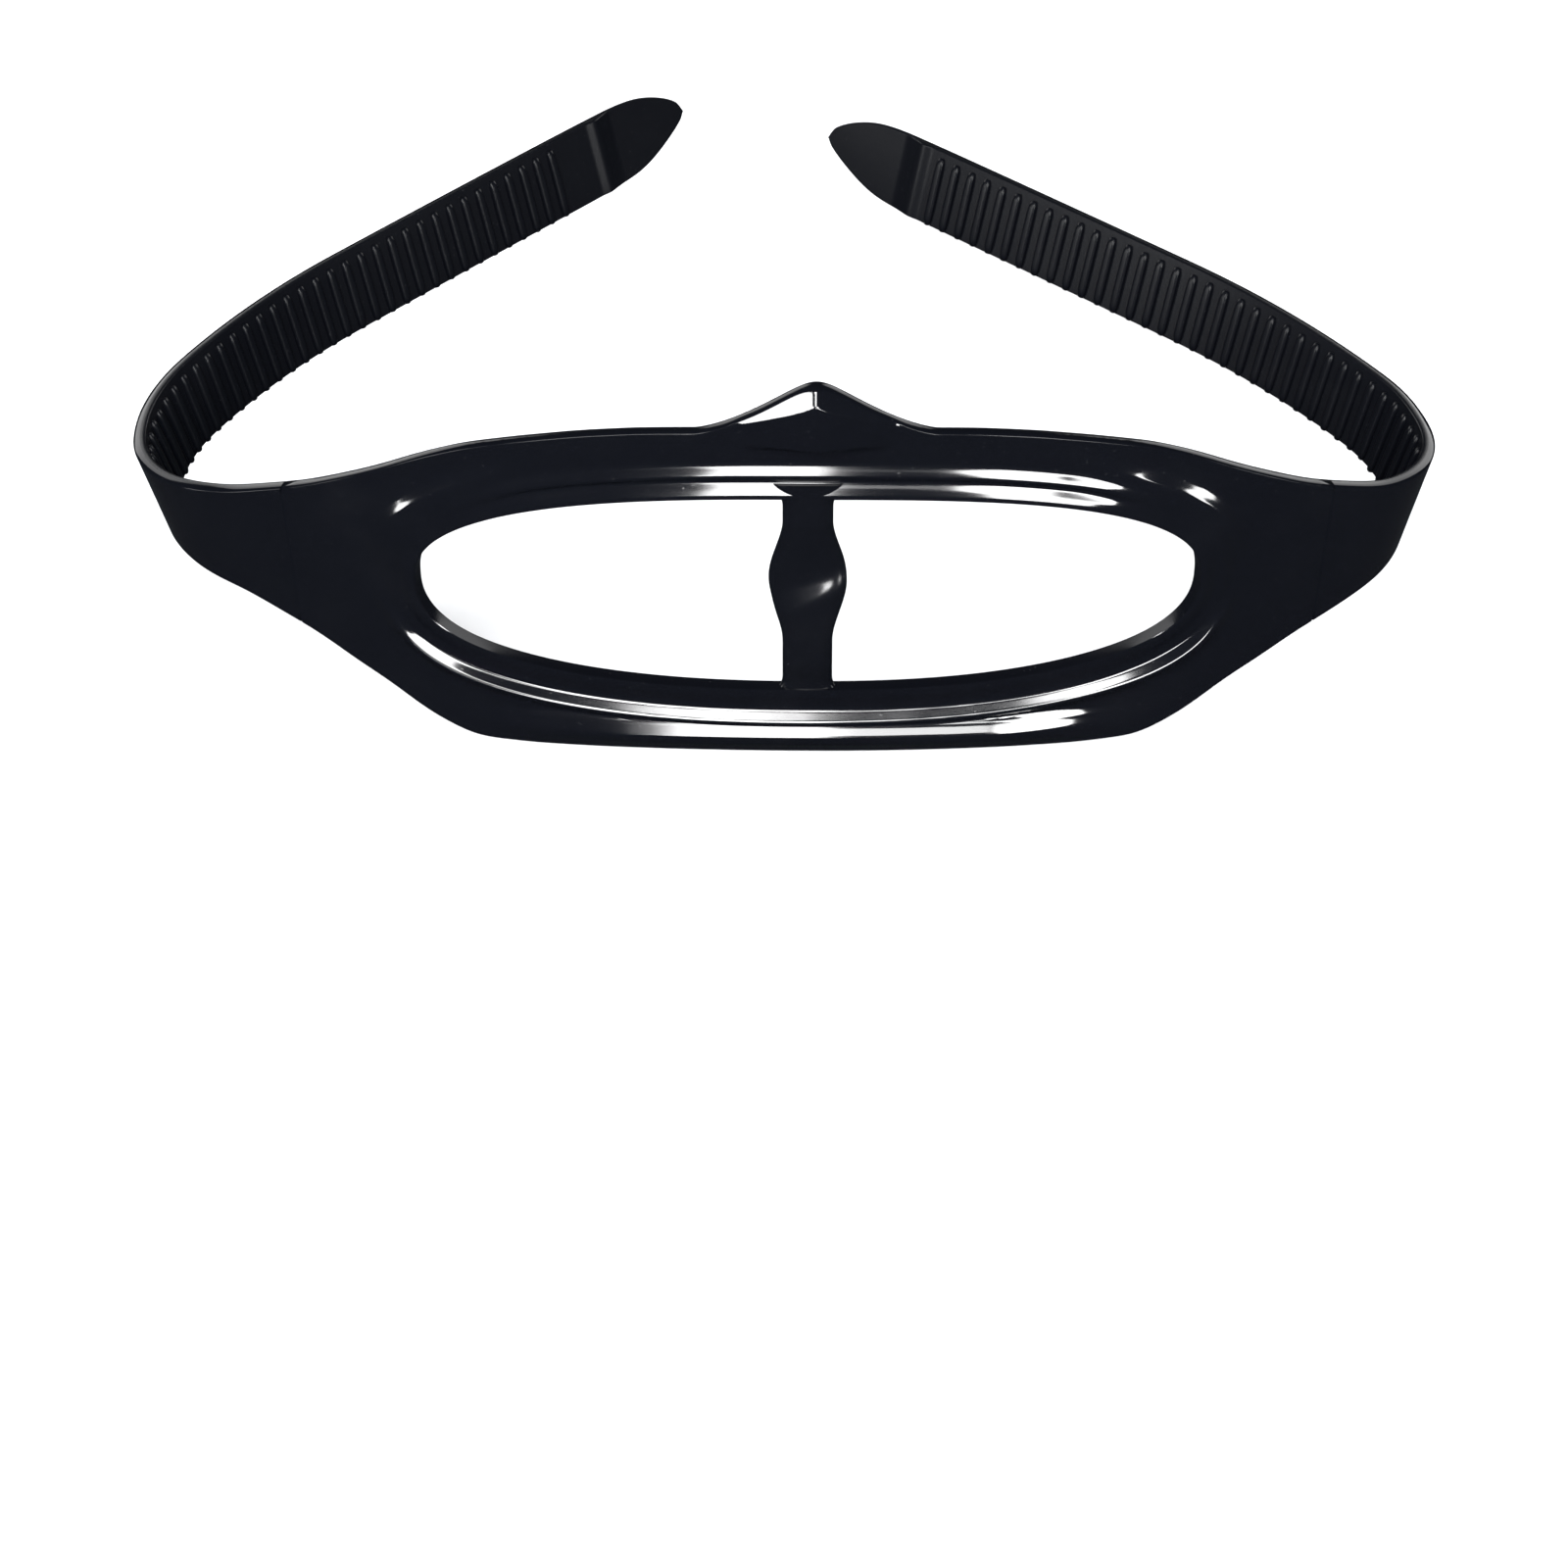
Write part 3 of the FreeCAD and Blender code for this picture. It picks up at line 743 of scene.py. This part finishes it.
# ---------------------------------------------------------------- the tails
def tail_section(band, relief, along):
    """Closed cross-sections of the band at places along a tail, and their satin share."""
    above, below = band.limits(along)
    rim = 1 - np.cos(np.linspace(0, math.pi / 2, EDGE_POINTS))
    reach = band.round_reach(above, below)[:, None]
    low, high = -below[:, None] + reach * rim, above[:, None] - reach * rim[::-1]
    shares = np.linspace(0, 1, FACE_POINTS + 2)[None, 1:-1]
    between = low[:, -1:] + (high[:, :1] - low[:, -1:]) * shares
    up = np.concatenate([low, between, high], axis=1)
    places = np.repeat(along[:, None], up.shape[1], 1)
    outer = band.place(places, up, relief.outer(places, up))
    inner = band.place(places[:, 1:-1], up[:, 1:-1], relief.inner(places, up)[:, 1:-1])
    satin = np.concatenate([0 * up, 0 * up[:, 1:-1] + 0.5 + 0.5 * smooth(
        (np.abs(along) - 98 * MM) / (16 * MM))[:, None]], axis=1)
    return np.concatenate([outer, inner[:, ::-1]], axis=1), satin


def body_names(side_name):
    """Bodies from the pad to the tab of one side."""
    lengths = [f"{side_name}_tail_{number}" for number in range(1, len(RIBS_HELD) + 3)]
    return ["pad"] + lengths + [f"{side_name}_tip"]


def build_tail(context, side_name):
    """Skins of one tail, each spanning one of its hinges."""
    band = Band(context.scene)
    relief = Relief(band)
    sign = SIDES[side_name]
    hinges, _ = band.hinges(side_name)
    ends = [band.band.pad_end] + [(a + b) / 2 for a, b in zip(hinges, hinges[1:])]
    tip = float(band.tip(sign))
    tab_start = tip - band.tail.tip_length
    ends.append(tip)
    bodies = body_names(side_name)
    spacing, guard = 0.9 * MM, 0.3 * MM
    fold_reach = 2.6 * MM
    for number, (start, end) in enumerate(zip(ends, ends[1:]), 1):
        last = number == len(ends) - 1
        count = int(math.ceil((end - start) / spacing)) + 1
        places = np.linspace(start, end, count)
        if last:
            tab = end - (end - tab_start) * (1 - np.sin(np.linspace(0, math.pi / 2, 40)))
            dense = np.linspace(tab_start - 5.5 * MM, tab_start + 3.5 * MM, 36)
            plain = places[places < dense[0] - 0.3 * MM]
            places = np.concatenate([plain, dense, tab[tab > dense[-1] + 0.2 * MM]])
            places[-1] = end - 0.02 * MM
        beyond = places[-1] + (0 if last else guard)
        padded = np.concatenate([[places[0] - guard], places, [beyond]])
        sections, satin = tail_section(band, relief, sign * padded)
        normals = grid_normals(sections, 1)[1:-1]
        points, satin = sections[1:-1], satin[1:-1]
        name = bodies[number]
        strips = np.full((len(points) - 1, points.shape[1]), RIBBED)
        strips[:, EDGE_POINTS - 1:EDGE_POINTS + FACE_POINTS] = POLISHED
        piece = new_tube(f"{name}_skin", points, normals, satin.ravel(), strips, rubber(context))
        hinge = hinges[number - 1]
        before, after = (Vector(band.place(np.array([sign * (hinge + step)]), np.zeros(1),
                                           np.zeros(1))[0]) for step in (-fold_reach, fold_reach))
        bodies[number - 1]
        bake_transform(piece)
        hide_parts(name)


# ---------------------------------------------------------------- the ribs
class Tree:
    """A Geometry Nodes tree with named inputs."""

    def __init__(self, name):
        self.tree = bpy.data.node_groups.new(name, "GeometryNodeTree")
        self.tree.interface.new_socket("Geometry", in_out="INPUT", socket_type="NodeSocketGeometry")
        self.tree.interface.new_socket("Geometry", in_out="OUTPUT", socket_type="NodeSocketGeometry")
        self.sockets = {}

    def number(self, name, default):
        socket = self.tree.interface.new_socket(name, in_out="INPUT", socket_type="NodeSocketFloat")
        socket.default_value = default
        self.sockets[name] = socket.identifier

    def start(self):
        self.inputs = self.tree.nodes.new("NodeGroupInput").outputs

    def add(self, kind, settings=(), sockets=()):
        """A node of a type, with its settings, then the values or links of its sockets."""
        node = self.tree.nodes.new(kind)
        for key, value in dict(settings).items():
            setattr(node, key, value)
        for key, value in dict(sockets).items():
            if isinstance(value, bpy.types.NodeSocket):
                self.tree.links.new(value, node.inputs[key])
            else:
                node.inputs[key].default_value = value
        return node

    def math(self, operation, *terms):
        return self.add("ShaderNodeMath", {"operation": operation}, enumerate(terms)).outputs[0]

    def finish(self, geometry):
        out = self.tree.nodes.new("NodeGroupOutput")
        self.tree.links.new(geometry, out.inputs[0])


def rib_tree(material):
    """One rounded rib on every point, turned to the point's stored directions."""
    tree = Tree("ribs")
    for name, default in (("Width", 1.7 * MM), ("Depth", 1.4 * MM), ("Length", 12 * MM),
                          ("Squareness", 5.0)):
        tree.number(name, default)
    tree.start()
    cube = tree.add("GeometryNodeMeshCube", {}, {
        "Size": (2, 2, 2), "Vertices X": 6, "Vertices Y": 12, "Vertices Z": 5}).outputs["Mesh"]
    place = tree.add("GeometryNodeInputPosition").outputs[0]
    parts = tree.add("ShaderNodeSeparateXYZ", {}, {0: place}).outputs
    power = tree.inputs["Squareness"]
    raised = [tree.math("POWER", tree.math("ABSOLUTE", part), power) for part in parts]
    total = tree.math("ADD", tree.math("ADD", raised[0], raised[1]), raised[2])
    shrink = tree.math("POWER", total, tree.math("DIVIDE", -1.0, power))
    halves = tree.add("ShaderNodeCombineXYZ", {}, {
        key: tree.math("MULTIPLY", tree.inputs[name], 0.5)
        for key, name in (("X", "Width"), ("Y", "Length"), ("Z", "Depth"))}).outputs[0]
    rounded = tree.add("ShaderNodeVectorMath", {"operation": "SCALE"}, {0: place, "Scale": shrink})
    sized = tree.add("ShaderNodeVectorMath", {"operation": "MULTIPLY"},
                     {0: rounded.outputs[0], 1: halves})
    rib = tree.add("GeometryNodeSetPosition", {}, {"Geometry": cube, "Position": sized.outputs[0]})
    smooth_rib = tree.add("GeometryNodeSetShadeSmooth", {}, {"Geometry": rib.outputs[0]})
    stored = [tree.add("GeometryNodeInputNamedAttribute", {"data_type": "FLOAT_VECTOR"},
                       {"Name": name}).outputs[0] for name in ("off_face", "up_band")]
    turn = tree.add("FunctionNodeAxesToRotation", {"primary_axis": "Z", "secondary_axis": "Y"},
                    {0: stored[0], 1: stored[1]})
    spread = tree.add("GeometryNodeInstanceOnPoints", {}, {
        "Points": tree.inputs["Geometry"], "Instance": smooth_rib.outputs[0],
        "Rotation": turn.outputs[0]})
    real = tree.add("GeometryNodeRealizeInstances", {}, {"Geometry": spread.outputs[0]})
    marked = tree.add("GeometryNodeStoreNamedAttribute", {"data_type": "FLOAT", "domain": "POINT"},
                      {"Geometry": real.outputs[0], "Name": "satin", "Value": 0.9})
    painted = tree.add("GeometryNodeSetMaterial", {}, {"Geometry": marked.outputs[0],
                                                       "Material": material})
    tree.finish(painted.outputs[0])
    return tree


def plain_copy(host, name):
    """The evaluated host as a plain mesh object, in place of the host."""
    evaluated = host.evaluated_get(bpy.context.evaluated_depsgraph_get())
    mesh = bpy.data.meshes.new_from_object(evaluated)
    mesh.name = name
    piece = bpy.data.objects.new(name, mesh)
    bpy.context.scene.collection.objects.link(piece)
    bpy.data.objects.remove(host)
    return piece


def build_ribs(context, side_name):
    """Ribs on the inner face of one tail, one mesh for each of its lengths."""
    band, tail = Band(context.scene), context.scene.strap_tail
    sign = SIDES[side_name]
    hinges, ribbed_start = band.hinges(side_name)
    places = ribbed_start + tail.rib_pitch * (np.arange(sum(RIBS_HELD)) + 0.5)
    depth = tail.rib_deep + tail.rib_root
    tree = rib_tree(rubber(context)[1])
    for number, (start, end) in enumerate(zip(hinges, hinges[1:]), 1):
        held = places[(places > start) & (places < end)]
        if not len(held):
            continue
        along = sign * held
        above, below = band.limits(along)
        up = ((above - tail.land_upper) - (below - tail.land_lower)) / 2
        out = np.full(len(held), -band.band.thick / 2 - tail.rib_deep + depth / 2)
        _, upward, outward_way = band.directions(along)
        mesh = bpy.data.meshes.new("rib_points")
        mesh.from_pydata([tuple(point) for point in band.place(along, up, out)], [], [])
        for name, vectors in (("off_face", -outward_way), ("up_band", upward)):
            mesh.attributes.new(name, "FLOAT_VECTOR", "POINT").data.foreach_set(
                "vector", vectors.astype(np.float32).ravel())
        host = bpy.data.objects.new("rib_host", mesh)
        context.scene.collection.objects.link(host)
        modifier = host.modifiers.new("ribs", "NODES")
        modifier.node_group = tree.tree
        length_of_rib = float((above + below).mean() - tail.land_upper - tail.land_lower)
        for name, value in (("Width", tail.rib_wide), ("Depth", depth), ("Length", length_of_rib)):
            modifier[tree.sockets[name]] = value
        piece = plain_copy(host, f"{side_name}_tail_{number}_ribs")
        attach(piece, f"{side_name}_tail_{number}")


# ---------------------------------------------------------------- the studio
def polar(azimuth, elevation, reach):
    """Place round the strap: degrees to the right of the front, degrees up, and how far."""
    azimuth, elevation = math.radians(azimuth), math.radians(elevation)
    level = reach * math.cos(elevation)
    return level * math.sin(azimuth), -level * math.cos(azimuth), reach * math.sin(elevation)


def add_light(name, place, wide, tall, power):
    """Rectangular light that faces the strap."""
    light = bpy.data.lights.new(name, "AREA")
    light.shape = "RECTANGLE"
    light.size, light.size_y = wide, tall
    light.energy = power
    lamp = bpy.data.objects.new(name, light)
    lamp.location = place
    lamp.rotation_euler = (-Vector(place)).to_track_quat("-Z", "Y").to_euler()
    bpy.context.scene.collection.objects.link(lamp)
    return lamp


def build_stage(context):
    """Pale floor with a backdrop, soft lights and the camera."""
    scene, sizes = context.scene, context.scene.strap_stage
    floor_z = CAD_BOUNDS[0][2] - sizes.floor_gap
    paper = stage_finish("paper", (0.40, 0.405, 0.415))
    radius, rise, count = 3.4, 2.8, 64
    angles = np.linspace(0, 2 * math.pi, count, endpoint=False)
    rings = [(0.4, 0.0), (1.0, 0.0), (1.9, 0.0), (2.5, 0.05), (3.0, 0.28), (3.3, 0.75),
             (radius, rise)]
    points = [(0, 0, floor_z)]
    for reach, height in rings:
        points += [(reach * math.cos(a), reach * math.sin(a), floor_z + height) for a in angles]
    faces = [(0, 1 + (k + 1) % count, 1 + k)[::-1] for k in range(count)]
    faces += [tuple(1 + index for index in face)[::-1]
              for face in grid_faces(len(rings), count, False, True)]
    floor = new_piece("floor", points, faces, materials=[paper])
    floor.visible_glossy = False

    lights = [
        add_light("front_left", polar(-3.0, 22, 1.7), 0.24, 1.05, 32),
        add_light("front_right", polar(21.5, 22, 1.7), 0.36, 1.05, 48),
        add_light("middle", polar(4, 36.5, 1.5), 0.42, 0.26, 9),
        add_light("high", polar(-21, 52, 1.5), 0.71, 0.36, 34),
        add_light("crest_left", polar(-52, 31, 1.3), 0.62, 0.3, 20),
        add_light("side_left", polar(-71, 10, 1.3), 0.26, 0.36, 9),
        add_light("side_right", polar(61, 12, 1.3), 0.24, 0.4, 10),
        add_light("back_left", polar(-148, 20, 1.5), 0.7, 0.7, 9),
        add_light("back_right", polar(148, 20, 1.5), 0.7, 0.7, 9),
        add_light("fill", (0, -0.2, 2.3), 2.6, 2.6, 30),
    ]
    lights[-1].visible_glossy = False

    world = scene.world or bpy.data.worlds.new("studio")
    scene.world = world
    world.use_nodes = True
    background = world.node_tree.nodes["Background"]
    background.inputs["Color"].default_value = (0.75, 0.8, 0.9, 1)
    background.inputs["Strength"].default_value = 0.04

    camera_data = bpy.data.cameras.new("camera")
    camera_data.lens = sizes.lens
    camera_data.clip_start, camera_data.clip_end = 0.01, 30
    camera = bpy.data.objects.new("camera", camera_data)
    scene.collection.objects.link(camera)
    rise_angle = sizes.view_height
    camera.location = (0, -sizes.view_distance * math.cos(rise_angle),
                       sizes.view_distance * math.sin(rise_angle))
    camera.rotation_euler = (math.pi / 2 - rise_angle - sizes.aim_rise, 0, sizes.aim_left)
    scene.camera = camera
    scene.view_settings.view_transform = "Standard"


# ---------------------------------------------------------------- operators
class STRAP_OT_pad(Operator):
    """Build the pad's skin: rails, wings, rolls round the opening and crest"""
    bl_idname = "strap.pad"
    bl_label = "Pad"

    def execute(self, context):
        build_pad_skin(context)
        return {"FINISHED"}


class STRAP_OT_bar(Operator):
    """Build the bar across the opening"""
    bl_idname = "strap.bar"
    bl_label = "Centre bar"

    def execute(self, context):
        build_bar(context)
        return {"FINISHED"}


class STRAP_OT_tails(Operator):
    """Build both tails' skins, each spanning one hinge"""
    bl_idname = "strap.tails"
    bl_label = "Tails"

    def execute(self, context):
        for side_name in SIDES:
            build_tail(context, side_name)
        return {"FINISHED"}


class STRAP_OT_ribs(Operator):
    """Build the ribs on both tails' inner faces"""
    bl_idname = "strap.ribs"
    bl_label = "Ribs"

    def execute(self, context):
        for side_name in SIDES:
            build_ribs(context, side_name)
        return {"FINISHED"}


class STRAP_OT_stage(Operator):
    """Set up the floor, the lights and the camera"""
    bl_idname = "strap.stage"
    bl_label = "Studio"

    def execute(self, context):
        build_stage(context)
        return {"FINISHED"}


OPERATORS = (STRAP_OT_pad, STRAP_OT_bar, STRAP_OT_tails, STRAP_OT_ribs, STRAP_OT_stage)
GROUPS = {"strap_band": BandSizes, "strap_pad": PadSizes, "strap_bar": BarSizes,
          "strap_tail": TailSizes, "strap_finish": Finishes, "strap_stage": StageSizes}


class STRAP_PT_build(Panel):
    """Lists what the strap is built from"""
    bl_idname = "STRAP_PT_build"
    bl_label = "Mask strap"
    bl_space_type = "VIEW_3D"
    bl_region_type = "UI"
    bl_category = "Strap"

    def draw(self, context):
        for operator in OPERATORS:
            self.layout.operator(operator.bl_idname)


def register():
    for group in GROUPS.values():
        bpy.utils.register_class(group)
    for name, group in GROUPS.items():
        setattr(bpy.types.Scene, name, PointerProperty(type=group))
    for cls in (*OPERATORS, STRAP_PT_build):
        bpy.utils.register_class(cls)


def unregister():
    for cls in (STRAP_PT_build, *OPERATORS):
        bpy.utils.unregister_class(cls)
    for name, group in GROUPS.items():
        delattr(bpy.types.Scene, name)
        bpy.utils.unregister_class(group)


def main():
    """Build everything in order."""
    register()
    for operator in OPERATORS:
        group, name = operator.bl_idname.split(".")
        getattr(getattr(bpy.ops, group), name)()


if __name__ == "__main__":
    main()
